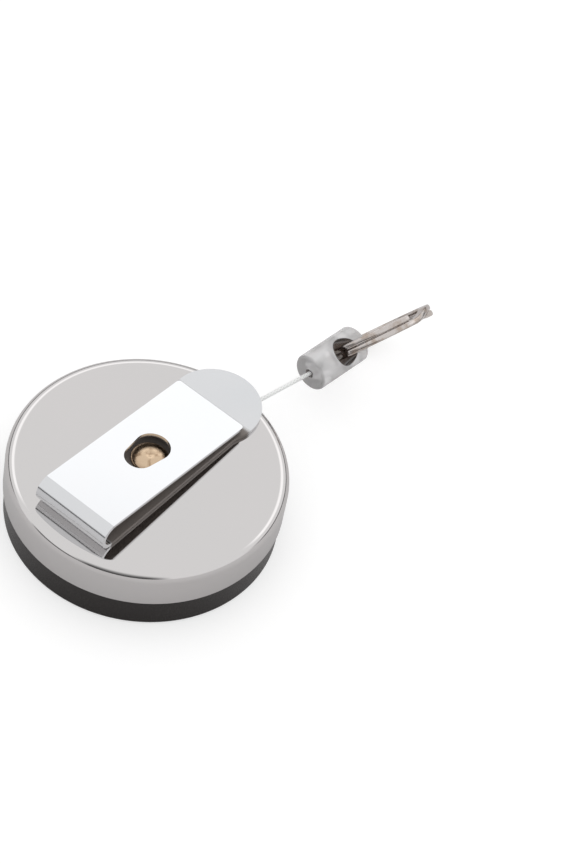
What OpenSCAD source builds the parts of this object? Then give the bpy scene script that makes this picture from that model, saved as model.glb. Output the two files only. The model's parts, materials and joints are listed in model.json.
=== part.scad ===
// Retractable badge reel: a round case with a sprung spool, a belt clip and a cord with a key ring.
// The reel lies on its front face at z = 0. The case axis is Z, and +X points through the cord outlet.

/* [Case] */
// Outside diameter of the chromed rear cover
cover_d = 40; // [39.5:0.1:40.5]
// Outside diameter of the moulded front shell
front_d = 39.4; // [38.6:0.1:39.4]
// Height of the band of the front shell that stays in sight
front_h = 5; // [4.6:0.1:5.2]
// Height of the whole case, without the clip
case_h = 11.3; // [11.2:0.1:12]
// Outside radius of the cover's rounded shoulder
shoulder_r = 2; // [1.6:0.1:2.2]
// Wall of the rear cover
cover_wall = 1.2; // [1.1:0.05:1.2]
// Wall and floor of the front shell
front_wall = 1.4; // [1.2:0.1:1.4]

/* [Spool] */
// Radius of the spool's flanges
flange_r = 16.8; // [16.4:0.1:16.8]
// Outside radius of the spool's drum
drum_r = 14.6; // [14:0.1:14.6]
// Radius of the fixed centre post
post_r = 2.25; // [2:0.05:2.4]
// Number of turns of the power spring
spring_turns = 8; // [5:1:10]
// Thickness of the spring strip
spring_t = 0.2; // [0.1:0.05:0.25]

/* [Clip] */
// Width of the clip's top leaf
clip_w = 12.2; // [11.6:0.1:13]
// Thickness of the clip's steel strip
strip_t = 0.6; // [0.5:0.05:0.6]
// Distance from the case axis to the free end of the top leaf
leaf_reach = 13.4; // [12:0.1:14]
// Distance from the case axis back to the centre of the clip's bend
bend_back = 14.7; // [13:0.1:15.2]
// Outside radius of the clip's bend
bend_r = 2.15; // [2.1:0.05:2.4]
// Slope of the top leaf down to its free end, in degrees
leaf_slope = 5.1; // [4:0.1:5.1]
// Diameter of the wide end of the keyhole slot over the rivet
slot_wide_d = 5.1; // [4.8:0.1:5.2]
// Diameter of the narrow end of the keyhole slot
slot_narrow_d = 4.3; // [4:0.1:4.6]
// Radius of the round tongue in which the base leaf ends
tongue_r = 6.7; // [6.6:0.1:7]
// Distance from the case axis to the tip of the tongue
tongue_tip = 21.1; // [20.5:0.1:22]

/* [Cord and connector] */
// Diameter of the cord
cord_d = 0.6; // [0.5:0.05:0.7]
// Height of the outlet above the front face
cord_z = 8.2; // [8.2:0.05:8.3]
// Length of cord between the outlet and the connector
cord_out = 11.5; // [8:0.1:20]
// Direction of the cord outside the case, in degrees from +X
cord_angle = -12; // [-14:0.5:-10]
// Climb of the cord from the outlet to the connector, in degrees
cord_climb = 1.5; // [1:0.1:2]
// Outside diameter of the connector
connector_d = 5.75; // [5.2:0.05:6]
// Length of the connector
connector_l = 9.9; // [9:0.1:11]
// Direction of the connector's axis, in degrees from +X
connector_angle = -5.8; // [-9:0.2:-3]
// Diameter of the cross hole that takes the split ring
cross_hole_d = 4; // [3.8:0.1:4.2]
// Distance of the cross hole from the connector's near face
cross_hole_at = 5.8; // [5.6:0.1:6.4]
// Lean of the cross hole from the vertical, in degrees
cross_hole_lean = 33; // [33:1:36]
// Outside diameter of the split ring
ring_d = 18; // [16:0.5:18]
// Thickness of the split ring along its axis
ring_t = 1.9; // [1.6:0.1:2]
// Width of the split ring's wire along its radius
ring_w = 1.5; // [1.2:0.1:1.6]
// Turn of the split ring about the cross hole, in degrees
ring_turn = -6; // [-6:0.5:0]

/* [Hidden] */
fine = 96;
eps = 0.01;

// Heights of the case
cover_r = cover_d / 2;
front_r = front_d / 2;
cover_inner_r = cover_r - cover_wall;
cover_inner_top = case_h - cover_wall;
spigot_r = cover_inner_r - 0.05;
spigot_inner_r = spigot_r - 1.05;
spigot_top = front_h + 1.6;
floor_top = front_wall;
front_edge = 0.5;
post_seat = 0.9;
seat_z = floor_top - post_seat;

// Heights of the spool and its post
run_gap = 0.05;
post_hole_r = post_r + run_gap;
lower_washer_t = 0.45;
lower_washer_r = 4.6;
washer_top = floor_top + lower_washer_t;
spool_bottom = washer_top + run_gap;
spring_cover_t = 0.5;
web_bottom = 7.6;
web_top = 8.2;
hub_top = 8.6;
hub_r = 3.9;
web_root = 1;
flange_t = 0.45;
groove_low = cord_z - 1.2;
groove_high = cord_z + 1.2;
drum_wall = 1.1;
cup_r = drum_r - drum_wall;
post_top = 9.3;
post_slot_w = 0.5;
post_slot_bottom = 2.6;
neck_r = post_r - 0.3;
upper_washer_t = 0.2;
retainer_low = hub_top + upper_washer_t + 2 * run_gap;
retainer_t = 0.3;
retainer_in_r = neck_r + 0.03;
retainer_out_r = 3.4;
retainer_gap = 2.4;
spring_low = 2.7;
spring_high = 7.3;
spring_in_r = 3;
spring_out_r = cup_r - 0.35;
spring_steps = 20;
spring_tab = 1.6;
winding_r = drum_r + run_gap + 2 * cord_d;
anchor_z = 8.9;
anchor_angle = 200;
anchor_knot_r = 0.5;
anchor_hole_r = cord_d / 2 + 0.1;

// Outlet and cord route, inside the case and out to the mouth
guide_in_r = flange_r + 0.3;
guide_out_r = cover_inner_r - 0.1;
guide_half = 5.8;
guide_h = 2.8;
nose_w = 7.2;
nose_h = 3.2;
nose_low_x = 18;
mouth = [20.3, -1.85, cord_z];
funnel_h = 1.7;
funnel_in = [15.4, 7.15];
funnel_bend = [18.8, 3];
funnel_neck = [19.4, 2.4];
funnel_out = [20.5, 2.8];
cord_sides = 8;
lead_route = [
  [12.7, -9.98], [14.3, -7.94], [15.9, -5.9], [17.3, -4.11], [18, -3.25], [18.55, -2.6],
  [19.05, -2.16], [19.55, -1.9], [20, -1.8], [mouth[0], mouth[1]]
];
cord_dir = [cos(cord_angle) * cos(cord_climb), sin(cord_angle) * cos(cord_climb), sin(cord_climb)];
cord_gap = 0.02;
cord_hole_r = 0.55;
knot_r = 1;
knot_at = 2.9;
pocket_r = 1.25;
pocket_at = 1.8;
pocket_end = 4.6;
connector_edge = 0.5;
face = mouth + cord_out * cord_dir;
ring_mean_r = ring_d / 2 - ring_w / 2;
ring_edge = 0.35;

// Clip
clip_low = case_h + 0.04;
bend_z = clip_low + bend_r;
bend_in_r = bend_r - strip_t;
bend_mid_r = bend_r - strip_t / 2;
split_angle = 222;
split_gap = 0.16;
// Angle that half of the split takes up at the middle of the strip
split_half = split_gap / 2 / bend_mid_r * 180 / PI;
slot_wide_x = 0.7;
slot_narrow_x = -2.2;
// Angle between the clip's axis and the straight sides of the keyhole slot
slot_taper = asin((slot_wide_d - slot_narrow_d) / 2 / (slot_wide_x - slot_narrow_x));
leaf_length = (leaf_reach + bend_back) / cos(leaf_slope);
tongue_x = tongue_tip - tongue_r;
rivet_r = 1.25;
rivet_hole_r = rivet_r + run_gap;
head_r = 2.7;
head_low = clip_low + strip_t + 0.04;
head_t = 0.9;
head_edge = head_t / 2;
tail_r = 2.1;
tail_t = 0.3;
rivet_washer_t = 0.3;
rivet_washer_r = 3;

// A rectangle in the r-z half plane from r = 0, with its upper outer corner rounded
module rounded_half(r, low, high, corner) {
  translate([0, low]) square([r - corner, high - low]);
  translate([0, low]) square([r, high - low - corner]);
  translate([r - corner, high - corner]) circle(r = corner, $fn = fine);
}

// A rectangle in the r-z half plane between two radii
module band(r_in, r_out, low, high) {
  translate([r_in, low]) square([r_out - r_in, high - low]);
}

// A ring of rectangular section about the case axis
module collar(r_in, r_out, low, high) {
  rotate_extrude($fn = fine) band(r_in, r_out, low, high);
}

// An upright obround prism that lies across X, with its long side along Y
module obround_x(width, height, length) {
  rotate([90, 0, 90]) linear_extrude(length) obround(width, height);
}

// An obround centred on the origin with its long side along the first axis
module obround(length, width) {
  straight = length - width;
  square([straight, width], center = true);
  for (side = [-1, 1])
    translate([side * straight / 2, 0]) circle(d = width, $fn = fine);
}

// A tube swept along points: each ring stands square to the mean of the two stretches beside it
function unit(v) = v / norm(v);
function tangent(path, i) =
  i == 0 ? unit(path[1] - path[0]) :
  i == len(path) - 1 ? unit(path[i] - path[i - 1]) :
  unit(unit(path[i + 1] - path[i]) + unit(path[i] - path[i - 1]));
function ring_points(centre, along, r, sides) =
  let (side = unit(cross(along, [0, 0, 1])), up = cross(side, along))
  [for (k = [0:sides - 1]) centre + r * (cos(360 * k / sides) * side + sin(360 * k / sides) * up)];
function ring_faces(i, sides) =
  [for (k = [0:sides - 1]) let (n = (k + 1) % sides)
    [i * sides + k, i * sides + n, (i + 1) * sides + n, (i + 1) * sides + k]];

module cord_tube(path, r, sides) {
  last = len(path) - 1;
  points = [for (i = [0:last]) each ring_points(path[i], tangent(path, i), r, sides)];
  walls = [for (i = [0:last - 1]) each ring_faces(i, sides)];
  near = [for (k = [0:sides - 1]) sides - 1 - k];
  far = [for (k = [0:sides - 1]) last * sides + k];
  polyhedron(points, concat(walls, [near, far]));
}

// The connector's own frame: its axis is X, the near face is x = 0 and the cross hole stands along Z
module in_connector() {
  translate(face) rotate([0, 0, connector_angle]) rotate([cross_hole_lean, 0, 0]) children();
}

// Moulded cup with a flat front face and the spigot that the cover is pressed over
module front_shell() {
  color([0.17, 0.16, 0.16]) difference() {
    union() {
      rotate_extrude($fn = fine) {
        translate([0, 0]) square([front_r - front_edge, front_h]);
        translate([0, front_edge]) square([front_r, front_h - front_edge]);
        translate([front_r - front_edge, front_edge]) circle(r = front_edge, $fn = fine);
      }
      cylinder(h = spigot_top, r = spigot_r, $fn = fine);
    }
    translate([0, 0, floor_top]) cylinder(h = case_h, r = spigot_inner_r, $fn = fine);
    translate([0, 0, seat_z]) cylinder(h = case_h, r = post_r + eps, $fn = fine);
  }
}

// Chromed cap with a rounded shoulder, a rivet hole and the slot for the cord guide
module rear_cover() {
  color([0.80, 0.79, 0.79]) difference() {
    rotate_extrude($fn = fine) rounded_half(cover_r, front_h, case_h, shoulder_r);
    rotate_extrude($fn = fine)
      rounded_half(cover_inner_r, front_h - 1, cover_inner_top, shoulder_r - cover_wall);
    cylinder(h = case_h + 1, r = rivet_r + eps, $fn = fine);
    translate([nose_low_x, 0, cord_z]) obround_x(nose_w + 2 * eps, nose_h + 2 * eps, 4);
  }
}

// Steel post pressed into the floor, slotted for the inner end of the spring
module centre_post() {
  color([0.62, 0.63, 0.65]) difference() {
    translate([0, 0, seat_z]) cylinder(h = post_top - seat_z, r = post_r, $fn = fine);
    translate([-post_r - 1, -post_slot_w / 2, post_slot_bottom])
      cube([2 * post_r + 2, post_slot_w, post_top]);
    collar(neck_r, post_r + 1, retainer_low - run_gap, retainer_low + retainer_t + run_gap);
  }
}

module lower_washer() {
  color([0.86, 0.84, 0.78]) collar(post_hole_r, lower_washer_r, floor_top, washer_top);
}

module upper_washer() {
  color([0.86, 0.84, 0.78]) collar(post_hole_r, hub_r, hub_top + run_gap, hub_top + run_gap + upper_washer_t);
}

// Open spring-steel ring that snaps into the post's groove
module retaining_ring() {
  color([0.35, 0.35, 0.37]) difference() {
    collar(retainer_in_r, retainer_out_r, retainer_low, retainer_low + retainer_t);
    translate([0, -retainer_gap / 2, retainer_low - 1])
      cube([retainer_out_r + 1, retainer_gap, retainer_t + 2]);
  }
}

// Moulded guide in the wall of the cover, with a funnel that lets the cord leave the spool sideways
module cord_guide() {
  color([0.88, 0.88, 0.87]) difference() {
    union() {
      intersection() {
        collar(guide_in_r, guide_out_r, cord_z - guide_h / 2, cord_z + guide_h / 2);
        translate([0, -guide_half, 0]) cube([cover_r, 2 * guide_half, case_h]);
      }
      difference() {
        translate([nose_low_x, 0, cord_z]) obround_x(nose_w, nose_h - 0.2, mouth[0] - nose_low_x);
        cylinder(h = case_h, r = guide_in_r + 1, $fn = fine);
      }
    }
    translate([0, 0, cord_z - funnel_h / 2]) linear_extrude(funnel_h)
      polygon([for (p = [funnel_in, funnel_bend, funnel_neck, funnel_out]) [p[0], -p[1]],
               each [funnel_out, funnel_neck, funnel_bend, funnel_in]]);
  }
}

// Moulded spool: a cup for the spring that opens to the front, a hub and two flanges for the cord
module spool() {
  color([0.90, 0.89, 0.85]) difference() {
    union() {
      collar(cup_r, drum_r, spool_bottom, groove_high + flange_t);
      collar(hub_r - web_root, cup_r + eps, web_bottom, web_top);
      collar(post_hole_r, hub_r, web_bottom, hub_top);
      collar(cup_r + eps, flange_r, groove_low - flange_t, groove_low);
      collar(cup_r + eps, flange_r, groove_high, groove_high + flange_t);
    }
    rotate([0, 0, anchor_angle]) translate([cup_r - 1, 0, anchor_z]) rotate([0, 90, 0])
      cylinder(h = drum_wall + 2, r = anchor_hole_r, $fn = fine);
  }
}

// Thin disc pressed into the spool, which keeps the spring in its cup
module spring_cover() {
  color([0.93, 0.92, 0.90]) collar(post_hole_r, cup_r - eps, spool_bottom, spool_bottom + spring_cover_t);
}

// Spiral strip: its inner end lies in the slot of the post and its outer end bears on the drum
function spiral(turn, offset) =
  let (r = spring_in_r + (spring_out_r - spring_in_r) * turn / spring_turns + offset)
  [r * cos(360 * turn), r * sin(360 * turn)];

module power_spring() {
  steps = spring_turns * spring_steps;
  outside = [for (i = [0:steps]) spiral(i / spring_steps, spring_t / 2)];
  inside = [for (i = [steps:-1:0]) spiral(i / spring_steps, -spring_t / 2)];
  color([0.52, 0.56, 0.62]) translate([0, 0, spring_low]) linear_extrude(spring_high - spring_low) {
    polygon(concat(outside, inside));
    translate([-spring_tab, -spring_t / 2]) square([spring_in_r + spring_tab + spring_t / 2, spring_t]);
  }
}

// The turns of cord on the drum, as one closed ring
module cord_winding() {
  color([0.90, 0.91, 0.90]) collar(drum_r + run_gap, winding_r, groove_low + run_gap, groove_high - run_gap);
}

// The knot behind the drum's wall and the short end of cord that passes through it
module cord_anchor() {
  color([0.90, 0.91, 0.90]) rotate([0, 0, anchor_angle]) {
    translate([cup_r - anchor_knot_r - run_gap, 0, anchor_z]) sphere(r = anchor_knot_r, $fn = 32);
    translate([cup_r - anchor_knot_r, 0, anchor_z]) rotate([0, 90, 0])
      cylinder(h = drum_r - cup_r + anchor_knot_r, r = cord_d / 2, $fn = fine);
  }
}

// Cord from the top of the winding, through the guide and round its lip to the mouth
module cord_lead() {
  color([0.90, 0.91, 0.90])
    cord_tube([for (p = lead_route) [p[0], p[1], cord_z]], cord_d / 2, cord_sides);
}

// Free stretch of cord from the mouth to the knot in the connector
module cord_free() {
  rings = 8;
  free_length = cord_out + knot_at - knot_r + 0.1;
  color([0.90, 0.91, 0.90])
    cord_tube([for (i = [0:rings]) mouth + cord_dir * (cord_gap + free_length * i / rings)],
              cord_d / 2, cord_sides);
}

// Knot in the end of the cord, held in the connector's pocket
module cord_knot() {
  color([0.90, 0.91, 0.90]) in_connector() translate([knot_at, 0, 0]) sphere(r = knot_r, $fn = 48);
}

// Clear cylinder with a cord hole, a pocket for the knot and a cross hole for the ring
module connector_body() {
  round_r = connector_d / 2;
  color([0.86, 0.87, 0.89]) in_connector() difference() {
    rotate([0, 90, 0]) rotate_extrude($fn = fine) {
      translate([0, connector_edge]) square([round_r, connector_l - 2 * connector_edge]);
      square([round_r - connector_edge, connector_l]);
      for (z = [connector_edge, connector_l - connector_edge])
        translate([round_r - connector_edge, z]) circle(r = connector_edge, $fn = fine);
    }
    translate([-1, 0, 0]) rotate([0, 90, 0]) cylinder(h = 4, r = cord_hole_r, $fn = fine);
    translate([pocket_at, 0, 0]) rotate([0, 90, 0])
      cylinder(h = pocket_end - pocket_at, r = pocket_r, $fn = fine);
    translate([cross_hole_at, 0, -connector_d]) cylinder(h = 2 * connector_d, d = cross_hole_d, $fn = fine);
  }
}

// Split ring through the cross hole: a flattened wire ring with rounded edges
module split_ring() {
  color([0.70, 0.66, 0.64]) in_connector() translate([cross_hole_at, 0, 0])
    rotate([0, 0, ring_turn]) translate([ring_mean_r, 0, 0]) rotate([90, 0, 0])
      rotate_extrude($fn = fine) {
        translate([ring_mean_r, 0]) square([ring_w, ring_t - 2 * ring_edge], center = true);
        translate([ring_mean_r, 0]) square([ring_w - 2 * ring_edge, ring_t], center = true);
        for (side = [-1, 1], end = [-1, 1])
          translate([ring_mean_r + side * (ring_w / 2 - ring_edge), end * (ring_t / 2 - ring_edge)])
            circle(r = ring_edge, $fn = fine);
      }
}

// Part of the bend's section between two angles, about the bend's centre
module bend_arc(from, to) {
  reach = 3 * bend_r;
  mid = (from + to) / 2;
  intersection() {
    difference() {
      circle(r = bend_r, $fn = fine);
      circle(r = bend_in_r, $fn = fine);
    }
    polygon([[0, 0], for (a = [from, mid, to]) reach * [cos(a), sin(a)]]);
  }
}

// Lower leaf of the clip with its round tongue and the lower part of the bend
module clip_base() {
  color([0.84, 0.84, 0.85]) difference() {
    union() {
      translate([-bend_back, -clip_w / 2, clip_low]) cube([bend_back + tongue_x, clip_w, strip_t]);
      translate([tongue_x, 0, clip_low]) cylinder(h = strip_t, r = tongue_r, $fn = fine);
      translate([-bend_back, clip_w / 2, bend_z]) rotate([90, 0, 0]) linear_extrude(clip_w)
        bend_arc(split_angle + split_half, 270);
    }
    cylinder(h = case_h * 2, r = rivet_hole_r, $fn = fine);
  }
}

// Point where a straight side of the keyhole slot meets one of its two round ends
function slot_touch(x, d, side) = [x - d / 2 * sin(slot_taper), side * d / 2 * cos(slot_taper)];

// Upper leaf of the clip with the rest of the bend and the slot over the rivet
module clip_leaf() {
  color([0.92, 0.93, 0.95]) difference() {
    translate([-bend_back, clip_w / 2, bend_z]) rotate([90, 0, 0]) linear_extrude(clip_w) {
      bend_arc(90 - leaf_slope, split_angle - split_half);
      rotate(-leaf_slope) translate([0, bend_in_r]) square([leaf_length, strip_t]);
    }
    translate([slot_wide_x, 0, 0]) cylinder(h = case_h * 2, d = slot_wide_d, $fn = fine);
    translate([slot_narrow_x, 0, 0]) cylinder(h = case_h * 2, d = slot_narrow_d, $fn = fine);
    linear_extrude(case_h * 2) polygon([
      slot_touch(slot_wide_x, slot_wide_d, 1), slot_touch(slot_narrow_x, slot_narrow_d, 1),
      slot_touch(slot_narrow_x, slot_narrow_d, -1), slot_touch(slot_wide_x, slot_wide_d, -1)
    ]);
  }
}

// Brass rivet: round head over the clip, shank through the cover and a clinched tail inside
module clip_rivet() {
  washer_low = cover_inner_top - rivet_washer_t;
  color([0.72, 0.58, 0.42]) rotate_extrude($fn = fine) {
    rounded_half(head_r, head_low, head_low + head_t, head_edge);
    square_top = head_low + eps;
    translate([0, washer_low - eps]) square([rivet_r, square_top - washer_low + eps]);
    translate([0, washer_low - tail_t]) square([tail_r, tail_t]);
  }
}

module rivet_washer() {
  color([0.66, 0.67, 0.69])
    collar(rivet_r + run_gap, rivet_washer_r, cover_inner_top - rivet_washer_t, cover_inner_top);
}

front_shell();
rear_cover();
centre_post();
lower_washer();
upper_washer();
retaining_ring();
cord_guide();
spool();
spring_cover();
power_spring();
cord_winding();
cord_anchor();
cord_lead();
cord_free();
cord_knot();
connector_body();
split_ring();
clip_base();
clip_leaf();
clip_rivet();
rivet_washer();
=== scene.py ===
"""Looks of the retractable badge reel: chromed case, belt clip, cord, clear connector and split ring."""
import json
import math

import bmesh
import bpy
import numpy as np
from mathutils import Matrix, Vector


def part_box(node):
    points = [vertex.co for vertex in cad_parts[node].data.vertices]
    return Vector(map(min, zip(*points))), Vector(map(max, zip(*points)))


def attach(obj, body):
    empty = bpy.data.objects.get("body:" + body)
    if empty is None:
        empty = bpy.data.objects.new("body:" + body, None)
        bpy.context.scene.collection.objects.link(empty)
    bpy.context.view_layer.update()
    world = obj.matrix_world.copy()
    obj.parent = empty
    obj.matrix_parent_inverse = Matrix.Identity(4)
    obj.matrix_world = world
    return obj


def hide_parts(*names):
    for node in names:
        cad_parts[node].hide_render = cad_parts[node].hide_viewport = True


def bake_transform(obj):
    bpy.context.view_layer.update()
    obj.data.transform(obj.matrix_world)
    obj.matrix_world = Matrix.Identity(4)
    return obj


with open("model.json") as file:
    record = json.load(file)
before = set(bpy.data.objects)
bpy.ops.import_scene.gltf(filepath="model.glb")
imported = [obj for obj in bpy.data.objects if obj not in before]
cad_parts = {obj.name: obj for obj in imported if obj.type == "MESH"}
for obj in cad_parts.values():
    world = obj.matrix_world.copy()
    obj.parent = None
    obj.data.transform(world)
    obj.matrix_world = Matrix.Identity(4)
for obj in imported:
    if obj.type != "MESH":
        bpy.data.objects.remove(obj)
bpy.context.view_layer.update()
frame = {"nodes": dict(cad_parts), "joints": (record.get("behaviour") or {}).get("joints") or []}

MM = 0.001
TAU = 2 * math.pi
REST = "rest_place"
JOINTS = {joint["name"]: joint for joint in frame["joints"]}


def box_mm(node):
    """Lowest and highest corner of a CAD node in millimetres."""
    low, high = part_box(node)
    return np.array(low) / MM, np.array(high) / MM


def joint_mm(name):
    """A joint's point in millimetres and its unit axis."""
    return np.array(JOINTS[name]["pos_m"]) / MM, np.array(JOINTS[name]["axis"])


# ---------------------------------------------------------------- sizes of the clip, in millimetres

CLIP_LOW, CLIP_HIGH = box_mm("clip_base")
LEAF_LOW, LEAF_HIGH = box_mm("clip_leaf")
STRIP_W = LEAF_HIGH[1] - LEAF_LOW[1]
STRIP_T = 0.6
STRIP_Z = CLIP_LOW[2]
BEND_R = 2.15
BEND_X = LEAF_LOW[0] + BEND_R
BEND_Z = STRIP_Z + BEND_R
LEAF_SLOPE = math.radians(5.1)
LEAF_START_X = BEND_X + BEND_R * math.sin(LEAF_SLOPE)
LEAF_START_Z = BEND_Z + BEND_R * math.cos(LEAF_SLOPE)
LEAF_L = (LEAF_HIGH[0] - LEAF_START_X) / math.cos(LEAF_SLOPE)
TONGUE_R = CLIP_HIGH[1]
TONGUE_X = CLIP_HIGH[0] - TONGUE_R
KEYHOLE = (0.7, 2.55, -2.2, 2.15)


# ---------------------------------------------------------------- camera and light

AIM = Vector((26.9, -5.5, 0)) * MM
AIM_DISTANCE = 371.5 * MM
HEADING = math.radians(29.5)
ELEVATION = math.radians(49.07)
ROLL = math.radians(12.58)
LENS = 104.2
SENSOR = 36


def make_camera():
    """Camera that looks at AIM along a heading and down by an elevation, rolled about its own axis."""
    data = bpy.data.cameras.new("camera")
    data.lens = LENS
    data.sensor_width = SENSOR
    data.clip_start = 0.01
    camera = bpy.data.objects.new("camera", data)
    bpy.context.scene.collection.objects.link(camera)
    flat = Vector((math.cos(HEADING), math.sin(HEADING), 0))
    forward = flat * math.cos(ELEVATION) - Vector((0, 0, math.sin(ELEVATION)))
    level = forward.cross(Vector((0, 0, 1))).normalized()
    upright = level.cross(forward)
    right = level * math.cos(ROLL) + upright * math.sin(ROLL)
    up = upright * math.cos(ROLL) - level * math.sin(ROLL)
    turn = Matrix((right, up, -forward)).transposed().to_4x4()
    camera.matrix_world = Matrix.Translation(AIM - forward * AIM_DISTANCE) @ turn
    bpy.context.scene.camera = camera


# ---------------------------------------------------------------- shader writing

class Value:
    """A number that changes over a surface: arithmetic on it adds Math nodes to its tree."""

    def __init__(self, tree, socket):
        self.tree = tree
        self.socket = socket

    def joined(self, operation, first, second):
        return self.tree.node("ShaderNodeMath", {"operation": operation}, {0: first, 1: second})

    def __add__(self, other):
        return self.joined("ADD", self, other)

    def __sub__(self, other):
        return self.joined("SUBTRACT", self, other)

    def __mul__(self, other):
        return self.joined("MULTIPLY", self, other)

    def __truediv__(self, other):
        return self.joined("DIVIDE", self, other)

    def __pow__(self, other):
        return self.joined("POWER", self, other)

    def __rsub__(self, other):
        return self.joined("SUBTRACT", other, self)

    __radd__ = __add__
    __rmul__ = __mul__


class Tree:
    """A node tree written as calls: node() adds any node and gives one of its outputs."""

    source = "Object"

    def __init__(self, owner):
        owner.use_nodes = True
        self.owner = owner
        self.nodes = owner.node_tree.nodes
        self.links = owner.node_tree.links

    def feed(self, socket, value):
        if isinstance(value, Value):
            self.links.new(value.socket, socket)
        elif hasattr(value, "__len__") and socket.type == "RGBA" and len(value) == 3:
            socket.default_value = (*value, 1)
        else:
            socket.default_value = value

    def node(self, kind, settings=None, inputs=None, output=0):
        made = self.nodes.new(kind)
        for key, value in (settings or {}).items():
            if key == "stops":
                self.set_stops(made.color_ramp, value)
            else:
                setattr(made, key, value)
        for key, value in (inputs or {}).items():
            self.feed(made.inputs[key], value)
        return Value(self, made.outputs[output])

    def set_stops(self, ramp, stops):
        while len(ramp.elements) < len(stops):
            ramp.elements.new(0.5)
        for element, (place, shade) in zip(ramp.elements, stops):
            element.position = place
            element.color = (*shade, 1)

    def sine(self, value):
        return self.node("ShaderNodeMath", {"operation": "SINE"}, {0: value})

    def ramp(self, value, low, high, at_low=0.0, at_high=1.0):
        """Smooth step from one number to another as the value goes from low to high."""
        inputs = {"Value": value, "From Min": low, "From Max": high, "To Min": at_low, "To Max": at_high}
        return self.node("ShaderNodeMapRange", {"interpolation_type": "SMOOTHSTEP"}, inputs)

    def mix(self, factor, first, second):
        """Colour that goes from the first to the second with the factor."""
        return self.node("ShaderNodeMix", {"data_type": "RGBA"}, {0: factor, 6: first, 7: second}, 2)

    def place(self, scale=(1, 1, 1), turn=(0, 0, 0), source=None):
        """Coordinates on the piece in metres, scaled and turned. Source UV gives the piece's own map, and
        source REST its places at rest, for a piece that changes shape as it moves."""
        source = source or self.source
        if source == REST:
            coordinates = self.node("ShaderNodeAttribute", {"attribute_name": REST}, output="Vector")
        else:
            coordinates = self.node("ShaderNodeTexCoord", output=source)
        return self.node("ShaderNodeMapping", {}, {"Vector": coordinates, "Scale": scale, "Rotation": turn})

    def noise(self, per_mm, where=None, detail=3, rough=0.5):
        """Noise from 0 to 1 with so many features per millimetre."""
        return self.node("ShaderNodeTexNoise", {}, {
            "Vector": where or self.place(), "Scale": per_mm / MM, "Detail": detail, "Roughness": rough})

    def parts(self, vector):
        split = self.nodes.new("ShaderNodeSeparateXYZ")
        self.feed(split.inputs[0], vector)
        return [Value(self, output) for output in split.outputs]

    def distance_from_line(self, point_mm, axis):
        """Distance in millimetres from the line through a point along an axis."""
        offset = self.node("ShaderNodeVectorMath", {"operation": "SUBTRACT"}, {
            0: self.place(), 1: tuple(float(c) * MM for c in point_mm)})
        across = self.node("ShaderNodeVectorMath", {"operation": "CROSS_PRODUCT"}, {
            0: offset, 1: tuple(float(c) for c in axis)})
        return self.node("ShaderNodeVectorMath", {"operation": "LENGTH"}, {0: across}, output="Value") / MM

    def radius(self):
        """Distance from the case axis in millimetres, and the height in millimetres."""
        x, y, z = self.parts(self.place())
        return (x * x + y * y) ** 0.5 / MM, z / MM


class Finish(Tree):
    """One material of the reel, with its numbers set on the shader's own sockets."""

    def __init__(self, name, **numbers):
        super().__init__(bpy.data.materials.new(name))
        self.shader = self.nodes["Principled BSDF"]
        self.set(**numbers)

    def set(self, **numbers):
        for key, value in numbers.items():
            self.feed(self.shader.inputs[key.replace("_", " ").title().replace("Ior", "IOR")], value)

    def bump(self, height, depth_mm, strength=1.0):
        """Relief: a height of 1 stands depth_mm above a height of 0."""
        self.set(normal=self.node("ShaderNodeBump", {}, {
            "Height": height, "Distance": depth_mm * MM, "Strength": strength}))

    def hairlines(self, along, across, turn=(0, 0, 0), share=0.62):
        """Fine scratches from 0 to 1: noise long one way and short the other, with only its peaks kept."""
        lines = self.noise(1, self.place((along, across, across), turn), detail=4, rough=0.6)
        return self.ramp(lines, share, share + 0.12)


# ---------------------------------------------------------------- finishes

def chrome_plate():
    """Mirror plate on the cap: faint wipe marks, hairline scratches and a soft bloom."""
    finish = Finish("chrome_plate", metallic=1.0)
    bloom = finish.noise(0.06, detail=2)
    scratches = finish.hairlines(0.12, 9, (0, 0, 0.5)) + finish.hairlines(8, 0.15, (0, 0, -0.3))
    specks = finish.ramp(finish.noise(2.4, detail=1), 0.74, 0.8)
    finish.set(
        base_color=finish.mix(bloom, (0.655, 0.645, 0.640), (0.675, 0.650, 0.648)),
        roughness=0.035 + bloom * 0.05 + scratches * 0.05 + specks * 0.12)
    finish.bump(finish.noise(0.35, detail=1) + scratches * 0.02, 0.0035, 0.5)
    return finish.owner


def black_plastic():
    """Moulded shell: nearly black, polished, with a fine grain and a few rub marks."""
    finish = Finish("black_plastic", ior=1.5)
    grain = finish.noise(9, detail=2)
    rubs = finish.hairlines(0.3, 6)
    finish.set(
        base_color=finish.mix(grain, (0.010, 0.008, 0.007), (0.017, 0.013, 0.012)),
        roughness=0.22 + grain * 0.10 + rubs * 0.12, specular_ior_level=0.36)
    finish.bump(grain, 0.004, 0.6)
    return finish.owner


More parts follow.
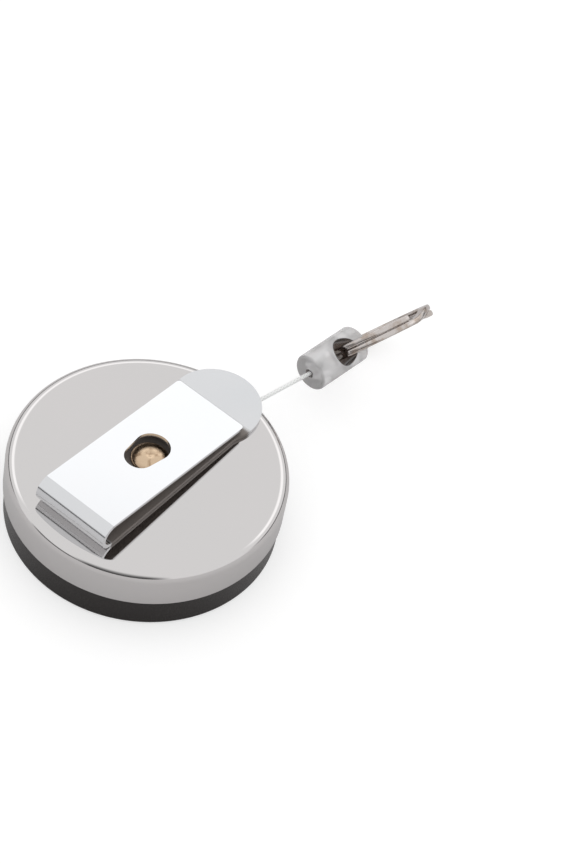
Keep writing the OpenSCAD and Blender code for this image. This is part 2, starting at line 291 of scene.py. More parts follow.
def plated_strip():
    """Nickel plate on the clip's strip: fine rolling lines along its length, and between the two leaves a
    rougher, less metallic inside, where the strip isn't polished, whose colour is darkened as painted shade
    in the gap."""
    finish = Finish("plated_strip", metallic=1.0)
    finish.source = REST
    rolling = finish.noise(1, finish.place((0.08, 14, 14)), detail=4, rough=0.65)
    bloom = finish.noise(0.12, detail=2)
    scratches = finish.hairlines(0.2, 7, (0, 0, 0.25))
    x, _, z = finish.parts(finish.place())
    x, z = x / MM, z / MM
    over_leaf = (x - LEAF_START_X) * math.sin(LEAF_SLOPE) + (z - LEAF_START_Z) * math.cos(LEAF_SLOPE)
    under = finish.ramp(over_leaf, -0.6 * STRIP_T, -0.9 * STRIP_T)
    after_bend = finish.ramp(x, BEND_X - 0.5, BEND_X + 0.1)
    before_end = finish.ramp(x, LEAF_HIGH[0] + 0.8, LEAF_HIGH[0] - 0.2)
    # mask of the gap between the leaves: real dullness for metallic and roughness, and painted shade for the
    # colour
    dull_and_shaded_gap = under * after_bend * before_end
    polished = finish.mix(bloom, (0.70, 0.715, 0.735), (0.735, 0.735, 0.745))
    finish.set(
        # the dark brown in the gap is painted shade
        base_color=finish.mix(dull_and_shaded_gap, polished, (0.2, 0.175, 0.16)),
        metallic=1 - dull_and_shaded_gap * 0.7,
        roughness=0.07 + rolling * 0.08 + scratches * 0.08 + bloom * 0.04 + dull_and_shaded_gap * 0.42)
    finish.bump(rolling, 0.0012, 0.6)
    return finish.owner


def brass_rivet():
    """Brass head: turned lines about its axis, with brown tarnish in specks and towards its edge."""
    finish = Finish("brass_rivet", metallic=1.0)
    radius, _ = finish.radius()
    turned = finish.sine(radius * 38)
    tarnish = finish.ramp(finish.noise(1.3, detail=4), 0.45, 0.75)
    edge = finish.ramp(radius, 1.9, 2.7)
    brass = finish.mix(tarnish, (0.66, 0.50, 0.35), (0.40, 0.27, 0.17))
    finish.set(
        base_color=finish.mix(edge * 0.6, brass, (0.34, 0.23, 0.15)),
        roughness=0.22 + tarnish * 0.2 + turned * 0.03)
    finish.bump(turned + tarnish * 2, 0.002, 0.5)
    return finish.owner


def clear_plastic():
    """Clear moulded connector: slightly milky, with flow lines; its cord hole and cross hole are coloured
    near black as painted shade.
    """
    finish = Finish("clear_plastic", ior=1.49, transmission_weight=0.6)
    flow = finish.noise(1, finish.place((0.3, 1.6, 1.6)), detail=3)
    haze = finish.ramp(finish.noise(0.9, detail=3), 0.4, 0.7)
    from_cord = finish.distance_from_line(*joint_mm("connector_swivel"))
    from_ring = finish.distance_from_line(*joint_mm("ring_swing"))
    # painted shade: near black inside the cord hole and the cross hole
    painted_hole_shade = (1 - finish.ramp(from_cord, 0.62, 0.78)) * 0.9 + (1 - finish.ramp(from_ring, 2.02, 2.2))
    clean = finish.mix(flow, (0.93, 0.92, 0.925), (0.99, 0.985, 0.99))
    finish.set(
        base_color=finish.mix(painted_hole_shade, clean, (0.035, 0.022, 0.016)),
        roughness=0.06 + haze * 0.10)
    finish.bump(flow, 0.01, 0.4)
    return finish.owner


def plated_ring():
    """Nickel plate on the split ring's wire, with drawing lines and a warm tint where the plate is thin."""
    finish = Finish("plated_ring", metallic=1.0)
    thin = finish.ramp(finish.noise(0.7, detail=3), 0.4, 0.7)
    drawn = finish.noise(4, detail=4)
    finish.set(
        base_color=finish.mix(thin, (0.60, 0.56, 0.54), (0.44, 0.37, 0.32)),
        roughness=0.10 + drawn * 0.08 + thin * 0.06)
    finish.bump(drawn, 0.002, 0.5)
    return finish.owner


def nylon_cord():
    """Braided cord: two sets of strands that cross round it, from the piece's own map."""
    finish = Finish("nylon_cord", ior=1.53, sheen_weight=0.35, sheen_roughness=0.4)
    along, around, _ = finish.parts(finish.place(source="UV"))
    right = finish.sine((along * 1.6 + around * 4) * TAU)
    left = finish.sine((along * 1.6 - around * 4) * TAU)
    braid = finish.node("ShaderNodeMath", {"operation": "MAXIMUM"}, {0: right, 1: left})
    fibre = finish.noise(12, detail=3)
    finish.set(
        base_color=finish.mix(finish.ramp(braid, -0.6, 0.8), (0.74, 0.75, 0.74), (0.94, 0.95, 0.94)),
        roughness=0.42 + fibre * 0.2)
    finish.bump(braid + fibre * 0.4, 0.02, 0.6)
    return finish.owner


def moulded(name, dark, light, rough=0.38):
    """Moulded plastic of one colour: a soft mottle, a fine grain and a faint sheen."""
    finish = Finish(name, ior=1.46, subsurface_weight=0.08, subsurface_scale=0.5 * MM)
    mottle = finish.noise(0.25, detail=3)
    grain = finish.noise(7, detail=2)
    finish.set(base_color=finish.mix(mottle, dark, light), roughness=rough + grain * 0.12)
    finish.bump(grain, 0.004, 0.5)
    return finish.owner


def turned_steel():
    """Turned steel: fine lathe lines about the case axis and a few darker streaks."""
    finish = Finish("turned_steel", metallic=1.0)
    radius, height = finish.radius()
    lines = finish.sine(radius * 60 + height * 55)
    streaks = finish.noise(0.8, detail=4)
    finish.set(
        base_color=finish.mix(streaks, (0.46, 0.46, 0.47), (0.60, 0.60, 0.61)),
        roughness=0.24 + lines * 0.04 + streaks * 0.1)
    finish.bump(lines, 0.0015, 0.5)
    return finish.owner


def spring_steel():
    """Tempered strip: blue and straw bands over rolled steel."""
    finish = Finish("spring_steel", metallic=1.0)
    temper = finish.noise(0.12, detail=2)
    rolled = finish.noise(1, finish.place((2, 2, 20)), detail=4)
    shades = [(0.3, (0.20, 0.24, 0.33)), (0.5, (0.33, 0.34, 0.38)), (0.72, (0.46, 0.38, 0.27))]
    finish.set(
        base_color=finish.node("ShaderNodeValToRGB", {"stops": shades}, {0: temper}),
        roughness=0.22 + rolled * 0.14)
    finish.bump(rolled, 0.0015, 0.5)
    return finish.owner


FINISHES = {
    "chrome_plate": chrome_plate(),
    "black_plastic": black_plastic(),
    "plated_strip": plated_strip(),
    "brass_rivet": brass_rivet(),
    "clear_plastic": clear_plastic(),
    "plated_ring": plated_ring(),
    "nylon_cord": nylon_cord(),
    "white_plastic": moulded("white_plastic", (0.66, 0.66, 0.64), (0.74, 0.74, 0.72)),
    "natural_plastic": moulded("natural_plastic", (0.72, 0.70, 0.62), (0.80, 0.78, 0.71), 0.32),
    "nylon_washer": moulded("nylon_washer", (0.70, 0.67, 0.58), (0.78, 0.75, 0.67), 0.3),
    "turned_steel": turned_steel(),
    "spring_steel": spring_steel(),
}


# ---------------------------------------------------------------- surfaces

def grid_faces(rows, columns, wrap_rows=False, wrap_columns=False):
    """Quads of a grid that face along (next row) x (next column). A wrapped direction closes on its
    first line, and the others end at their last."""
    first_rows, first_columns = rows - (not wrap_rows), columns - (not wrap_columns)
    i, j = np.meshgrid(np.arange(first_rows), np.arange(first_columns), indexing="ij")
    k, l = (i + 1) % rows, (j + 1) % columns
    return np.stack([i * columns + j, k * columns + j, k * columns + l, i * columns + l], -1).reshape(-1, 4)


def add_mesh(name, points, faces, uv=None, sharp=40):
    """Mesh object from points in millimetres: points that meet at seams and poles become one."""
    mesh = bpy.data.meshes.new(name)
    mesh.from_pydata((np.asarray(points) * MM).tolist(), [], np.asarray(faces).tolist())
    if uv is not None:
        mesh.uv_layers.new(name="along").data.foreach_set("uv", np.asarray(uv, float).ravel())
    work = bmesh.new()
    work.from_mesh(mesh)
    bmesh.ops.remove_doubles(work, verts=work.verts, dist=1e-7)
    work.to_mesh(mesh)
    work.free()
    mesh.shade_smooth()
    mesh.set_sharp_from_angle(angle=math.radians(sharp))
    piece = bpy.data.objects.new(name, mesh)
    bpy.context.scene.collection.objects.link(piece)
    return piece


def modify(piece, kind, **settings):
    """Adds a modifier to a piece and sets it."""
    modifier = piece.modifiers.new(kind.lower(), kind)
    for key, value in settings.items():
        setattr(modifier, key, value)
    return modifier


def keep_rest_places(piece):
    """Stores where each point is at rest, for finishes that must not slide when the piece changes shape."""
    places = np.empty(len(piece.data.vertices) * 3, np.float32)
    piece.data.vertices.foreach_get("co", places)
    piece.data.attributes.new(REST, "FLOAT_VECTOR", "POINT").data.foreach_set("vector", places)


def apply_modifiers(piece):
    """Makes the modified shape the piece's own mesh."""
    graph = bpy.context.evaluated_depsgraph_get()
    mesh = bpy.data.meshes.new_from_object(
        piece.evaluated_get(graph), preserve_all_data_layers=True, depsgraph=graph)
    piece.modifiers.clear()
    piece.data = mesh


def rounded(corners, closed=True, steps=6):
    """Outline through corners (x, y, radius). A corner with a radius turns as an arc that touches both its
    sides, with a point just before and after it that keeps the flats flat."""
    corners = [np.array(c, float) for c in corners]
    outline = []
    for n, corner in enumerate(corners):
        if corner[2] == 0 or (not closed and n in (0, len(corners) - 1)):
            outline.append(corner[:2])
            continue
        back = corners[n - 1][:2] - corner[:2]
        ahead = corners[(n + 1) % len(corners)][:2] - corner[:2]
        back, ahead = back / np.linalg.norm(back), ahead / np.linalg.norm(ahead)
        half = math.acos(np.clip(back @ ahead, -1, 1)) / 2
        touch = corner[2] / math.tan(half)
        bisector = (back + ahead) / np.linalg.norm(back + ahead)
        centre = corner[:2] + bisector * corner[2] / math.sin(half)
        start, stop = corner[:2] + back * touch - centre, corner[:2] + ahead * touch - centre
        opening = math.pi - 2 * half
        outline.append(centre + start + back * touch * 0.2)
        for step in range(steps + 1):
            share = step / steps
            weights = np.array([math.sin((1 - share) * opening), math.sin(share * opening)])
            weights = weights / math.sin(opening)
            outline.append(centre + weights[0] * start + weights[1] * stop)
        outline.append(centre + stop + ahead * touch * 0.2)
    return np.array(outline)


def revolve(name, profile, segments=192, closed=True):
    """Surface of revolution: each (r, z) of the profile turned about Z. The profile runs out along the
    bottom, up the outside and back along the top, so that the faces point outwards."""
    angle = np.arange(segments) * TAU / segments
    r, z = profile[:, 0], profile[:, 1]
    points = np.stack([np.outer(np.cos(angle), r), np.outer(np.sin(angle), r), np.tile(z, (segments, 1))], -1)
    return add_mesh(name, points.reshape(-1, 3), grid_faces(segments, len(profile), True, closed))


def unit(v):
    return v / np.linalg.norm(v, axis=-1, keepdims=True)


def sweep(path, section, up, closed=False):
    """Points, faces and map of a section carried along a path. Each ring stands square to the path: its first
    axis is up made square to the path, its second is square to both. An open sweep ends in flat caps."""
    if closed:
        along = unit(np.roll(path, -1, 0) - np.roll(path, 1, 0))
    else:
        along = unit(np.gradient(path, axis=0))
    second = unit(np.cross(np.broadcast_to(up, path.shape), along))
    first = np.cross(along, second)
    rings = path[:, None] + section[None, :, :1] * first[:, None] + section[None, :, 1:] * second[:, None]
    count = len(section)
    if not closed:
        caps = [np.repeat(path[[0]], count, 0)[None], rings, np.repeat(path[[-1]], count, 0)[None]]
        rings = np.concatenate(caps)
    steps = np.linalg.norm(np.diff(path, axis=0), axis=1)
    length = np.concatenate([[0], np.cumsum(steps)])
    if closed:
        length = np.append(length, length[-1] + steps[-1])
    else:
        length = np.concatenate([[0], length, length[-1:]])
    faces = grid_faces(len(rings), count, closed, True)
    rows = faces.shape[0] // count
    i, j = np.meshgrid(np.arange(rows), np.arange(count), indexing="ij")
    u = np.stack([length[i], length[i + 1], length[i + 1], length[i]], -1)
    v = np.stack([j, j, j + 1, j + 1], -1) / count
    return rings.reshape(-1, 3), faces, np.stack([u, v], -1)


def circle(r, sides):
    angle = np.arange(sides) * TAU / sides
    return r * np.stack([np.cos(angle), np.sin(angle)], -1)


def smooth_path(points, per_stretch=8):
    """Curve through all the points: on each stretch the four points about it make a Catmull-Rom curve."""
    points = np.array(points, float)
    padded = np.concatenate([[2 * points[0] - points[1]], points, [2 * points[-1] - points[-2]]])
    t = np.arange(per_stretch)[:, None] / per_stretch
    a, b, c, d = (padded[k:len(padded) - 3 + k, None] for k in range(4))
    curve = 0.5 * (2 * b + (c - a) * t + (2 * a - 5 * b + 4 * c - d) * t**2 + (3 * b - a - 3 * c + d) * t**3)
    return np.concatenate([curve.reshape(-1, points.shape[1]), points[-1:]])


def circle_outline(cx, r):
    """Distance from a hole's centre to a circle's edge along each angle; the circle stands off by cx."""
    return lambda angle: cx * np.cos(angle) + np.sqrt(np.maximum(r * r - (cx * np.sin(angle)) ** 2, 0))


def keyhole_outline(wide_x, wide_r, narrow_x, narrow_r):
    """Distance from a hole's centre to its edge along each angle: two circles and the lines that touch both.
    A touching line has the normal (-sin taper, cos taper) and stands off by wide_x n_x + wide_r."""
    wide, narrow = circle_outline(wide_x, wide_r), circle_outline(narrow_x, narrow_r)
    taper = math.asin((wide_r - narrow_r) / (wide_x - narrow_x))
    normal = np.array([-math.sin(taper), math.cos(taper)])
    first = np.arctan2(wide_r * normal[1], wide_x + wide_r * normal[0])
    last = np.arctan2(narrow_r * normal[1], narrow_x + narrow_r * normal[0])

    def reach(angle):
        lean = np.abs(angle)
        side = (wide_x * normal[0] + wide_r) / (np.cos(lean) * normal[0] + np.sin(lean) * normal[1])
        return np.where(lean < first, wide(angle), np.where(lean > last, narrow(angle), side))
    return reach


def obround_outline(half_length, half_width):
    """Distance from an obround's centre to its edge along each angle; it is long along the second axis."""
    def reach(angle):
        along, across = np.abs(np.sin(angle)), np.abs(np.cos(angle))
        straight = half_length - half_width
        flat = half_width / np.maximum(across, 1e-9)
        cap = straight * along + np.sqrt(np.maximum(half_width**2 - (straight * across) ** 2, 0))
        return np.where(flat * along <= straight, flat, cap)
    return reach


def pierced(surface, u, v, holes, v_scale=1.0, rings=5):
    """Points and faces of surface(u, v) on a grid, with holes. Round each hole (u, v, reach_u, reach_v,
    outline) a block of cells is replaced by rings that go from the block's edge to the hole's outline.
    v_scale is millimetres per unit of v beside the holes."""
    gu, gv = np.meshgrid(u, v, indexing="ij")
    flat = np.stack([gu.ravel(), gv.ravel()], -1)
    faces = grid_faces(len(u), len(v))
    solid = np.ones((len(u) - 1, len(v) - 1), bool)
    extra_points, extra_faces, total = [], [], len(flat)
    for hole_u, hole_v, reach_u, reach_v, outline in holes:
        half_v = reach_v / v_scale
        i0, i1 = np.abs(u - hole_u + reach_u).argmin(), np.abs(u - hole_u - reach_u).argmin()
        j0, j1 = np.abs(v - hole_v + half_v).argmin(), np.abs(v - hole_v - half_v).argmin()
        solid[i0:i1, j0:j1] = False
        wide, high = i1 - i0, j1 - j0
        there_i, there_j = np.arange(i0, i1), np.arange(j0, j1)
        back_i, back_j = np.arange(i1, i0, -1), np.arange(j1, j0, -1)
        edge_i = np.concatenate([there_i, np.full(high, i1), back_i, np.full(high, i0)])
        edge_j = np.concatenate([np.full(wide, j0), there_j, np.full(wide, j1), back_j])
        edge = edge_i * len(v) + edge_j
        offset = (flat[edge] - (hole_u, hole_v)) * (1, v_scale)
        angle = np.arctan2(offset[:, 1], offset[:, 0])
        target = outline(angle)[:, None] * np.stack([np.cos(angle), np.sin(angle)], -1)
        share = (np.arange(1, rings + 1) / rings)[:, None, None]
        loops = (offset + (target - offset) * share) / (1, v_scale) + (hole_u, hole_v)
        count = len(edge)
        index = np.concatenate([edge[None], total + np.arange(rings * count).reshape(rings, count)])
        ahead = np.roll(index, -1, 1)
        quads = np.stack([index[:-1], ahead[:-1], ahead[1:], index[1:]], -1)
        extra_points.append(loops.reshape(-1, 2))
        extra_faces.append(quads.reshape(-1, 4))
        total += rings * count
    flat = np.concatenate([flat] + extra_points)
    faces = np.concatenate([faces[solid.ravel()]] + extra_faces)
    used, faces = np.unique(faces, return_inverse=True)
    return surface(flat[used, 0], flat[used, 1]), faces.reshape(-1, 4)


# ---------------------------------------------------------------- finishing a piece

def dress(piece, body, *nodes, finish):
    """Gives a piece its finish, its body and the CAD nodes that it stands for."""
    piece.data.materials.clear()
    piece.data.materials.append(FINISHES[finish])
    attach(piece, body)
    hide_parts(*nodes)
    return piece


# ---------------------------------------------------------------- case

COVER_LOW, COVER_HIGH = box_mm("rear_cover")
_, SHELL_HIGH = box_mm("front_shell")
COVER_R = COVER_HIGH[1]
CASE_TOP = COVER_HIGH[2]
SHELL_R = SHELL_HIGH[1]
BAND_TOP = COVER_LOW[2]
SHOULDER_IN = 1.7
SHOULDER_EASE = 1.05
COVER_WALL = 1.2
SHELL_FLOOR = 1.4
SPIGOT_R = COVER_R - COVER_WALL - 0.05
SPIGOT_WALL = 1.05
RIVET_R = 1.25
LEAD_LOW, LEAD_HIGH = box_mm("cord_lead")
OUTLET_Z = (LEAD_LOW[2] + LEAD_HIGH[2]) / 2
OUTLET_HALF = (3.6, 1.6)


def rear_cover():
    """Cap: the profile runs from the rivet hole out along the top, round the shoulder and down the wall, and
    each of its points is turned about Z. Its slope eases in from the flat top: it grows as a power of the way
    along the shoulder. The outlet is an obround hole through the wall."""
    flat = COVER_R - SHOULDER_IN
    share = np.linspace(0, 1, 400)
    turn = share**SHOULDER_EASE * math.pi / 2
    step = 0.5 * (np.cos(turn[1:]) + np.cos(turn[:-1])), 0.5 * (np.sin(turn[1:]) + np.sin(turn[:-1]))
    stride = SHOULDER_IN / step[0].sum()
    curve_r = flat + np.append(0, np.cumsum(step[0])) * stride
    curve_z = CASE_TOP - np.append(0, np.cumsum(step[1])) * stride
    curve_s = flat + share * stride * (len(share) - 1)
    arc_end = curve_s[-1]
    wall = curve_z[-1] - BAND_TOP
    table_s = np.concatenate([[0], curve_s, [arc_end + wall]])
    table_r = np.concatenate([[0], curve_r, [COVER_R]])
    table_z = np.concatenate([[CASE_TOP], curve_z, [BAND_TOP]])
    top = [RIVET_R + 0.01, RIVET_R + 0.15, 3, 6, 9, 12, 15, flat - 0.3, flat - 0.05]
    down = arc_end + np.append(0.05, np.linspace(0.3, wall, 14))
    u = np.concatenate([top, np.linspace(flat, arc_end, 26), down])
    v = np.linspace(-math.pi, math.pi, 241)

    def surface(s, angle):
        r, z = np.interp(s, table_s, table_r), np.interp(s, table_s, table_z)
        return np.stack([r * np.cos(angle), r * np.sin(angle), z], -1)

    outlet_s = np.interp(-OUTLET_Z, -table_z, table_s)
    outlet = (outlet_s, 0, 2.2, 4.3, obround_outline(*OUTLET_HALF))
    piece = add_mesh("chromed_cover", *pierced(surface, u, v, [outlet], COVER_R))
    modify(piece, "SOLIDIFY", thickness=COVER_WALL * MM, offset=-1, use_even_offset=True)
    modify(piece, "BEVEL", width=0.05 * MM, segments=2, limit_method="ANGLE", angle_limit=math.radians(50),
           harden_normals=True)
    apply_modifiers(piece)
    return dress(piece, "case", "rear_cover", finish="chrome_plate")


def front_shell():
    """Cup: floor, outer wall, spigot and inner wall, with every edge rounded, turned about Z."""
    spigot_in = SPIGOT_R - SPIGOT_WALL
    top = SHELL_HIGH[2]
    seat = SHELL_FLOOR - 0.9
    corners = [
        (0, 0, 0), (SHELL_R, 0, 0.5), (SHELL_R, BAND_TOP, 0.12), (SPIGOT_R, BAND_TOP, 0.05),
        (SPIGOT_R, top, 0.2), (spigot_in, top, 0.1), (spigot_in, SHELL_FLOOR, 0.4),
        (2.25, SHELL_FLOOR, 0.1), (2.25, seat, 0), (0, seat, 0)]
    piece = revolve("moulded_shell", rounded(corners, closed=False), 240, closed=False)
    return dress(piece, "case", "front_shell", finish="black_plastic")


# ---------------------------------------------------------------- clip

def clip_strip():
    """One strip of steel: u runs along its outside from the tip of the tongue, back along the case, round the
    bend and forward along the leaf; v runs across it from -1 to 1. The tongue is a square grid drawn to a
    half disc: x = u sqrt(1 - v^2 / 2), y = v sqrt(1 - u^2 / 2)."""
    half = STRIP_W / 2
    tongue = TONGUE_R
    base = tongue + TONGUE_X - BEND_X
    bend = base + BEND_R * (math.pi - LEAF_SLOPE)
    total = bend + LEAF_L
    corner = 0.5
    u = np.concatenate([
        np.linspace(0, tongue, 18)[:-1], np.linspace(tongue, base - 0.1, 58), [base - 0.02],
        np.linspace(base, bend, 28), [bend + 0.02], np.linspace(bend + 0.1, total - corner, 58),
        total - corner * np.array([0.75, 0.5, 0.3, 0.15, 0.05, 0])])
    v = np.linspace(-1, 1, 33)

    def surface(s, w):
        cap = np.clip(1 - s / tongue, 0, 1)
        x_base = TONGUE_X - (s - tongue)
        swell = np.sqrt(np.maximum(TONGUE_R**2 - np.clip(x_base - TONGUE_X, -TONGUE_R, 0) ** 2, 0))
        to_end = np.clip(total - s, 0, corner)
        trim = corner - np.sqrt(corner**2 - (corner - to_end) ** 2)
        width = np.where(s < base, np.maximum(swell, half), half - trim)
        angle = np.clip((s - base) / BEND_R, 0, math.pi - LEAF_SLOPE)
        x_bend = BEND_X - BEND_R * np.sin(angle)
        z_bend = BEND_Z - BEND_R * np.cos(angle)
        leaf = np.maximum(s - bend, 0)
        x = np.where(s < base, x_base, x_bend + leaf * math.cos(LEAF_SLOPE))
        z = z_bend - leaf * math.sin(LEAF_SLOPE)
        in_cap = s < tongue
        x = np.where(in_cap, TONGUE_X + TONGUE_R * cap * np.sqrt(1 - w * w / 2), x)
        y = np.where(in_cap, TONGUE_R * w * np.sqrt(1 - cap * cap / 2), w * width)
        return np.stack([x, y, z], -1)

    slot_u = bend - LEAF_START_X / math.cos(LEAF_SLOPE)
    slot = (slot_u, 0, 5.2, 3.5, keyhole_outline(*KEYHOLE))
    rivet = (tongue + TONGUE_X, 0, 2.2, 2.0, circle_outline(0, RIVET_R + 0.05))
    piece = add_mesh("clip_strip", *pierced(surface, u, v, [slot, rivet], half))
    modify(piece, "SOLIDIFY", thickness=STRIP_T * MM, offset=-1, use_even_offset=True)
    modify(piece, "BEVEL", width=0.09 * MM, segments=3, limit_method="ANGLE", angle_limit=math.radians(50),
           harden_normals=True)
    apply_modifiers(piece)
    keep_rest_places(piece)
    piece.data.materials.clear()
    piece.data.materials.append(FINISHES["plated_strip"])
    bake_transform(piece)
    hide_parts("clip_base", "clip_leaf")
    return piece


def rivet():
    """Rivet: a head domed as part of an ellipse with a small centre mark, a shank and a clinched tail, turned
    about Z."""
    low, high = box_mm("clip_rivet")
    head_low, head_r, rim, mark_r, mark_deep = STRIP_Z + STRIP_T + 0.04, high[1], 0.2, 0.45, 0.14
    rise = high[2] - head_low - rim
    angle = np.linspace(0, math.pi / 2, 40)[1:]
    dome_r = head_r * np.cos(angle)
    dome_z = head_low + rim + rise * np.sin(angle) - mark_deep * np.exp(-((dome_r / mark_r) ** 2))
    tail_r, tail_t = 2.1, 0.3
    tail_top = low[2] + tail_t
    stem = rounded([
        (0, low[2], 0), (tail_r, low[2], 0.12), (tail_r, tail_top, 0.12), (RIVET_R, tail_top, 0),
        (RIVET_R, head_low, 0), (head_r, head_low, 0.08), (head_r, head_low + rim, 0)], closed=False)
    profile = np.concatenate([stem, np.stack([dome_r, dome_z], -1)])
    return dress(revolve("rivet_head", profile, 96, closed=False), "case", "clip_rivet", finish="brass_rivet")


# ---------------------------------------------------------------- cord

CORD_R = 0.3
CORD_DIR = np.array(JOINTS["cord_pull"]["axis"])
GROOVE_LOW, GROOVE_HIGH = box_mm("cord_winding")
LEAD_ROUTE = [
    (12.7, -9.98), (14.3, -7.94), (15.9, -5.9), (17.3, -4.11), (18, -3.25), (18.55, -2.6),
    (19.05, -2.16), (19.55, -1.9), (20, -1.8), (20.3, -1.85)]
MOUTH = np.array([*LEAD_ROUTE[-1], OUTLET_Z])
KNOT_LOW, KNOT_HIGH = box_mm("cord_knot")


def cord_piece(name, path, up, closed=False, sides=20):
    points, faces, uv = sweep(path, circle(CORD_R, sides), up, closed)
    return add_mesh(name, points, faces, uv, sharp=60)


def knot_path(centre, size, count=72):
    """Overhand knot: the trefoil curve (sin t + 2 sin 2t, cos t - 2 cos 2t, -sin 3t)."""
    t = np.arange(count) * TAU / count
    curve = np.stack([-np.sin(3 * t), np.sin(t) + 2 * np.sin(2 * t), np.cos(t) - 2 * np.cos(2 * t)], -1)
    return centre + curve * size / 3, curve


def cords():
    """The cord: turns on the drum in two layers, the lead through the outlet, the free stretch, the knot."""
    lead = smooth_path([(x, y, OUTLET_Z) for x, y in LEAD_ROUTE])
    dress(cord_piece("cord_in_guide", lead, (0, 0, 1)), "case", "cord_lead", finish="nylon_cord")

    turns, layers = 3.5, 2
    drum_r = GROOVE_HIGH[1] - 2 * layers * CORD_R + CORD_R
    t = np.linspace(0, 1, int(turns * 72))
    low, high = GROOVE_LOW[2] + CORD_R, GROOVE_HIGH[2] - CORD_R
    wound = []
    for layer in range(layers):
        angle = (layer * turns + t * turns) * TAU
        rise = low + (high - low) * (t if layer % 2 == 0 else 1 - t)
        r = np.full_like(t, drum_r + 2 * CORD_R * layer)
        wound.append(np.stack([r * np.cos(angle), r * np.sin(angle), rise], -1)[layer * 4:])
    wound = np.concatenate(wound)
    on_drum = cord_piece("cord_on_drum", wound, (0, 0, 1), sides=12)
    dress(on_drum, "spool", "cord_winding", finish="nylon_cord")

    knot_centre = (KNOT_LOW + KNOT_HIGH) / 2
    reach = np.linalg.norm(knot_centre - MOUTH)
    start, stop = MOUTH + CORD_DIR * 0.02, MOUTH + CORD_DIR * reach
    free = start + (stop - start) * np.linspace(0, 1, 121)[:, None]
    piece = cord_piece("cord_outside", free, (0, 0, 1))
    piece.data.materials.append(FINISHES["nylon_cord"])
    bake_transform(piece)
    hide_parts("cord_free")

    path, curve = knot_path(knot_centre, 0.66)
    dress(cord_piece("cord_end_knot", path, curve, closed=True, sides=12), "cord_end", "cord_knot",
          finish="nylon_cord")


# ---------------------------------------------------------------- split ring

def split_ring():
    """Two turns of flat wire. The centre line is a circle walked round nearly twice; its height along the
    ring's axis steps from the lower turn to the upper one in a short smooth jog."""
    hole, hole_axis = joint_mm("ring_swing")
    low, high = box_mm("split_ring")
    centre = (low + high) / 2
    away = unit(centre - hole)
    normal = unit(np.cross(away, hole_axis))
    side = np.cross(normal, away)
    wire_w, wire_h, gap = 1.5, 0.9, 0.05
    ring_r = np.linalg.norm(centre - hole)
    jog = math.radians(34)
    begin = math.radians(24)
    ends_at = math.radians(65)
    angle = np.linspace(begin, 2 * TAU - begin, 300)
    share = np.clip((angle - TAU) / jog + 0.5, 0, 1)
    level = (wire_h + gap) * (share * share * (3 - 2 * share) - 0.5)
    turn = angle + ends_at
    radial = np.outer(np.cos(turn), away) + np.outer(np.sin(turn), side)
    path = centre + ring_r * radial + np.outer(level, normal)
    corner = 0.32
    section = rounded([
        (wire_w / 2, -wire_h / 2, corner), (wire_w / 2, wire_h / 2, corner),
        (-wire_w / 2, wire_h / 2, corner), (-wire_w / 2, -wire_h / 2, corner)], steps=5)
    points, faces, uv = sweep(path, section, radial)
    piece = add_mesh("two_turn_ring", points, faces, uv, sharp=55)
    return dress(piece, "ring", "split_ring", finish="plated_ring")


# ---------------------------------------------------------------- inside the case

def power_spring():
    """Flat strip wound as a spiral whose radius grows evenly with its angle; it starts across the post."""
    low, high = box_mm("power_spring")
    inner, outer, turns, thick = 3.0, high[1] - 0.1, 8, 0.2
    t = np.linspace(0, 1, turns * 72)
    radius = inner + (outer - inner) * t
    angle = t * turns * TAU
    middle = (low[2] + high[2]) / 2
    spiral = np.stack([radius * np.cos(angle), radius * np.sin(angle), np.full_like(t, middle)], -1)
    tab = np.array([[-1.6, 0, middle], [1.4, 0, middle]])
    path = np.concatenate([tab, [[2.6, 0, middle]], spiral[1:]])
    half = (high[2] - low[2]) / 2
    section = np.array([(-half, -thick / 2), (half, -thick / 2), (half, thick / 2), (-half, thick / 2)])[::-1]
    points, faces, uv = sweep(path, section, (0, 0, 1))
    piece = add_mesh("spring_strip", points, faces, uv)
    return dress(piece, "case", "power_spring", finish="spring_steel")


# ---------------------------------------------------------------- CAD nodes that stay as they are

KEPT = {
    "centre_post": "turned_steel",
    "lower_washer": "nylon_washer",
    "upper_washer": "nylon_washer",
    "retaining_ring": "spring_steel",
    "rivet_washer": "turned_steel",
    "cord_guide": "white_plastic",
    "spool": "natural_plastic",
    "spring_cover": "natural_plastic",
    "cord_anchor": "nylon_cord",
    "connector_body": "clear_plastic",
}


def keep_nodes():
    for node, finish in KEPT.items():
        for material_slot in frame["nodes"][node].material_slots:
            material_slot.material = FINISHES[finish]


# ---------------------------------------------------------------- stage

FLOOR_GAP = 0.03
FLOOR_HALF = 2000


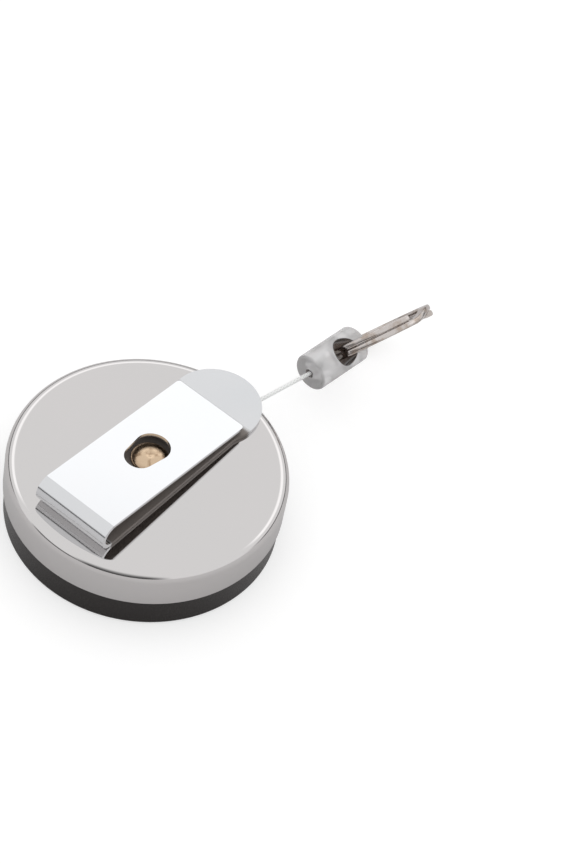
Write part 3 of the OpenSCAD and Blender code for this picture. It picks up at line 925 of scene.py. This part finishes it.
def stage():
    """Pale floor a hair under the front face, and soft light from all round with a brighter window ahead and
    darker edges low down, which the chrome shows as lines."""
    corners = np.array([(-1, -1, 0), (1, -1, 0), (1, 1, 0), (-1, 1, 0)]) * FLOOR_HALF
    floor = add_mesh("floor", corners - (0, 0, FLOOR_GAP), [(0, 1, 2, 3)])
    paper = Finish("paper", roughness=0.9, specular_ior_level=0.1, emission_strength=1.0)
    fibre = paper.noise(0.02, detail=2)
    seen = paper.node("ShaderNodeLightPath", output="Is Camera Ray")
    pale = paper.mix(fibre, (0.52, 0.52, 0.52), (0.54, 0.54, 0.54))
    paper.set(
        base_color=paper.mix(seen, (0.72, 0.71, 0.71), pale),
        emission_color=paper.mix(seen, (0, 0, 0), (0.56, 0.56, 0.56)))
    floor.data.materials.append(paper.owner)

    world = bpy.data.worlds.new("studio")
    bpy.context.scene.world = world
    sky = Tree(world)
    direction = sky.node("ShaderNodeTexCoord", output="Generated")
    x, y, z = sky.parts(direction)

    def towards(azimuth, elevation):
        """Cosine of the angle from a direction given in degrees."""
        a, e = math.radians(azimuth), math.radians(elevation)
        return x * (math.cos(a) * math.cos(e)) + y * (math.sin(a) * math.cos(e)) + z * math.sin(e)

    ahead = towards(30, 0)
    window = sky.ramp(z, 0.735, 0.67) * sky.ramp(z, 0.44, 0.54) * sky.ramp(ahead, 0.0, 0.3)
    far_edge = sky.ramp(z, 0.2, 0.06) * sky.ramp(ahead, -0.15, 0.25)
    near_edge = sky.ramp(z, 0.8, 0.1) * sky.ramp(towards(206, 6), 0.80, 0.95)
    side_edge = sky.ramp(z, 0.24, 0.1) * sky.ramp(towards(159, 5), 0.92, 0.98)
    light = 0.95 + window * 0.45
    light = light * (1 - far_edge * 0.85) * (1 - near_edge * 0.9) * (1 - side_edge * 0.85)
    camera_ray = sky.node("ShaderNodeLightPath", output="Is Camera Ray")
    sky.feed(sky.nodes["Background"].inputs["Strength"], camera_ray + light * (1 - camera_ray))
    sky.feed(sky.nodes["Background"].inputs["Color"], (1, 1, 1))
    bpy.context.scene.view_settings.view_transform = "Standard"


make_camera()
stage()
rear_cover()
front_shell()
clip_strip()
rivet()
cords()
split_ring()
power_spring()
keep_nodes()
